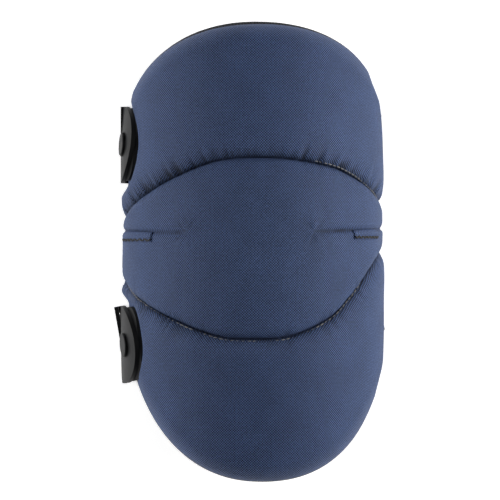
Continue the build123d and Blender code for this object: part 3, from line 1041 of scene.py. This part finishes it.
class KneePadFlaps(Operator):
    """Sews down the small flaps below the darts"""

    bl_idname = "knee_pad.flaps"
    bl_label = "Dart flaps"

    def execute(self, context):
        columns, rows, turns = 36, 9, 15
        for side, (start, end, low, high) in FLAPS.items():
            xs = np.linspace(start, end, columns)
            ys = np.linspace(low, high, rows)
            grid_x, grid_y = np.meshgrid(xs, ys, indexing="ij")
            points = np.stack([grid_x.ravel(), grid_y.ravel()], axis=-1)
            free_end = end if side == "left" else start
            rim = np.minimum(np.abs(points[:, 1] - low), np.abs(points[:, 0] - free_end))
            places = lifted(points, 0.25 + 0.45 * np.clip(rim / 0.8, 0, 1))
            quads = grid_quads(np.arange(columns * rows).reshape(columns, rows))
            piece = new_piece("flap_" + side, places, quads, uv=points)
            finish_modifier(piece, "SOLIDIFY", thickness=0.0006, offset=-1.0)
            dress(piece, "nylon")
            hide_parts("dart_flap_" + side)
            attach(piece, "pad_knee")
            zig_x = np.linspace(start, end, turns)
            zig_y = np.where(np.arange(turns) % 2, low + 0.5, low + 1.9)
            zig = lifted(np.stack([zig_x, zig_y], axis=-1), 1.0)
            thread = capsule_chain("flap_stitches_" + side, zig[:-1], zig[1:], 0.42)
            dress(thread, "black_thread")
            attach(thread, "pad_knee")
        return {"FINISHED"}


class KneePadStraps(Operator):
    """Folds the elastic straps, their return runs and their anchors"""

    bl_idname = "knee_pad.straps"
    bl_label = "Straps"

    def execute(self, context):
        for strap, section in (("upper", "thigh"), ("lower", "shin")):
            slide = joint_named(strap + "_slider_slide")["axis"]
            turn = math.atan2(slide[1], slide[0])
            bar = np.array(joint_named(strap + "_tab_peel")["pos_m"]) / MM
            slider_low, slider_high = box_mm(strap + "_slider")
            hub = ((slider_low[0] + slider_high[0]) / 2 - bar[0]) / math.cos(turn)
            middle = STRAP_THICKNESS / 2
            radius = bar[2] - middle
            end = hub + STRAP_PAST_BAR
            lift = STRAP_LIFT + middle
            strap_path = [(14, 1.9), (6, 2.3)] + fold((0, bar[2]), radius, 90, 270) \
                + [(16, middle), (21, lift), (end, lift)]
            back_path = [(hub - RETURN_LENGTH, SLIDER_BAR_Z - radius)] \
                + fold((hub, SLIDER_BAR_Z), radius, -90, 90) \
                + [(hub - 6, SLIDER_BAR_Z + 0.2), (hub - 16, SLIDER_BAR_Z - 0.3)]
            anchor_path = [(end - ANCHOR_LENGTH, 0.9)] + fold((end - 0.1, 2.5), 1.6, -90, 90) \
                + [(end - ANCHOR_LENGTH, 4.1)]
            pad = "pad_" + section
            webbing = (STRAP_WIDTH, STRAP_THICKNESS, "strap_elastic", "webbing")
            tape = (STRAP_WIDTH + 2, ANCHOR_THICKNESS, "binding_tape", "tape")
            pieces = (("strap", strap_path, pad, webbing),
                      ("strap_return", back_path, strap + "_adjuster", webbing),
                      ("strap_anchor", anchor_path, pad, tape))
            for part, path, body, (width, thickness, slot_name, finish) in pieces:
                name = strap + "_" + part
                piece = ribbon(name + "_webbing", path, width, thickness, bar, turn)
                dress(piece, finish)
                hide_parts(name)
                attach(piece, body)
        return {"FINISHED"}


class KneePadFasteners(Operator):
    """Finishes the snaps, tabs and sliders"""

    bl_idname = "knee_pad.fasteners"
    bl_label = "Fasteners"

    def execute(self, context):
        finishes = (("plastic", ("stud_plate", "strap_tab", "snap_cap", "slider")),
                    ("steel", ("snap_stud", "snap_socket", "stud_rivet")))
        for strap in ("upper", "lower"):
            for finish, parts in finishes:
                for part in parts:
                    dress(frame["nodes"][strap + "_" + part], finish)
        return {"FINISHED"}


class KneePadStage(Operator):
    """Sets the floor, the lights and the camera"""

    bl_idname = "knee_pad.stage"
    bl_label = "Stage"

    def execute(self, context):
        deselect_all()
        bpy.ops.mesh.primitive_plane_add(size=6.0, location=(0, 0, -0.0006))
        floor = context.active_object
        floor.name = "floor"
        material, tree, shader = start_material("white_board")
        set_inputs(tree, shader, {
            "Base Color": linear("f6f6f6"), "Roughness": 0.9, "Emission Color": (1, 1, 1, 1),
            "Emission Strength": 0.55})
        floor.data.materials.append(material)

        world = bpy.data.worlds.new("studio")
        world.use_nodes = True
        backdrop = world.node_tree.nodes["Background"]
        seen = add_node(world.node_tree, "ShaderNodeLightPath")
        glow = add_node(world.node_tree, "ShaderNodeMapRange", None,
                        {0: seen.outputs["Is Camera Ray"], 3: 0.06, 4: 1.0})
        set_inputs(world.node_tree, backdrop, {0: (1, 1, 1, 1), 1: glow.outputs[0]})
        context.scene.world = world
        lamps = (
            ("left_softbox", (-0.95, 0.05, 0.42), 0.7, 11.5),
            ("right_softbox", (0.95, 0.1, 0.42), 0.7, 15.0),
            ("front_fill", (0.0, 0.2, 1.7), 0.8, 0.8),
        )
        for name, place, size, power in lamps:
            light = bpy.data.lights.new(name, "AREA")
            light.shape = "RECTANGLE"
            light.size = size
            light.size_y = size
            light.energy = power
            lamp = bpy.data.objects.new(name, light)
            lamp.location = place
            aim = Vector((0, 0, 0.04)) - Vector(place)
            lamp.rotation_euler = aim.to_track_quat("-Z", "Y").to_euler()
            context.scene.collection.objects.link(lamp)

        camera = bpy.data.cameras.new("camera")
        camera.sensor_width = 36.0
        distance, view_width = 1.8, 0.2615
        camera.lens = camera.sensor_width * distance / view_width
        eye = bpy.data.objects.new("camera", camera)
        eye.location = ((MIDDLE_X - 1.3) * MM, (MIDDLE_Y + 1.0) * MM, distance + 0.012)
        context.scene.collection.objects.link(eye)
        context.scene.camera = eye
        context.scene.view_settings.view_transform = "Standard"
        return {"FINISHED"}


OPERATORS = (KneePadCover, KneePadLiner, KneePadBinding, KneePadStitches, KneePadFlaps,
             KneePadStraps, KneePadFasteners, KneePadStage)


class KneePadPanel(Panel):
    bl_idname = "VIEW3D_PT_knee_pad"
    bl_label = "Knee pad"
    bl_space_type = "VIEW_3D"
    bl_region_type = "UI"
    bl_category = "Knee pad"

    def draw(self, context):
        for group in (context.scene.knee_pad_sizes, context.scene.knee_pad_colours):
            for key in group.bl_rna.properties.keys():
                if key not in ("rna_type", "name"):
                    self.layout.prop(group, key)
        for operator in OPERATORS:
            self.layout.operator(operator.bl_idname)


CLASSES = (KneePadSizes, KneePadColours) + OPERATORS + (KneePadPanel,)


def register():
    for item in CLASSES:
        bpy.utils.register_class(item)
    bpy.types.Scene.knee_pad_sizes = PointerProperty(type=KneePadSizes)
    bpy.types.Scene.knee_pad_colours = PointerProperty(type=KneePadColours)


def unregister():
    del bpy.types.Scene.knee_pad_colours
    del bpy.types.Scene.knee_pad_sizes
    for item in reversed(CLASSES):
        bpy.utils.unregister_class(item)


def main():
    register()
    for operator in OPERATORS:
        group, name = operator.bl_idname.split(".")
        getattr(getattr(bpy.ops, group), name)()


if __name__ == "__main__":
    main()
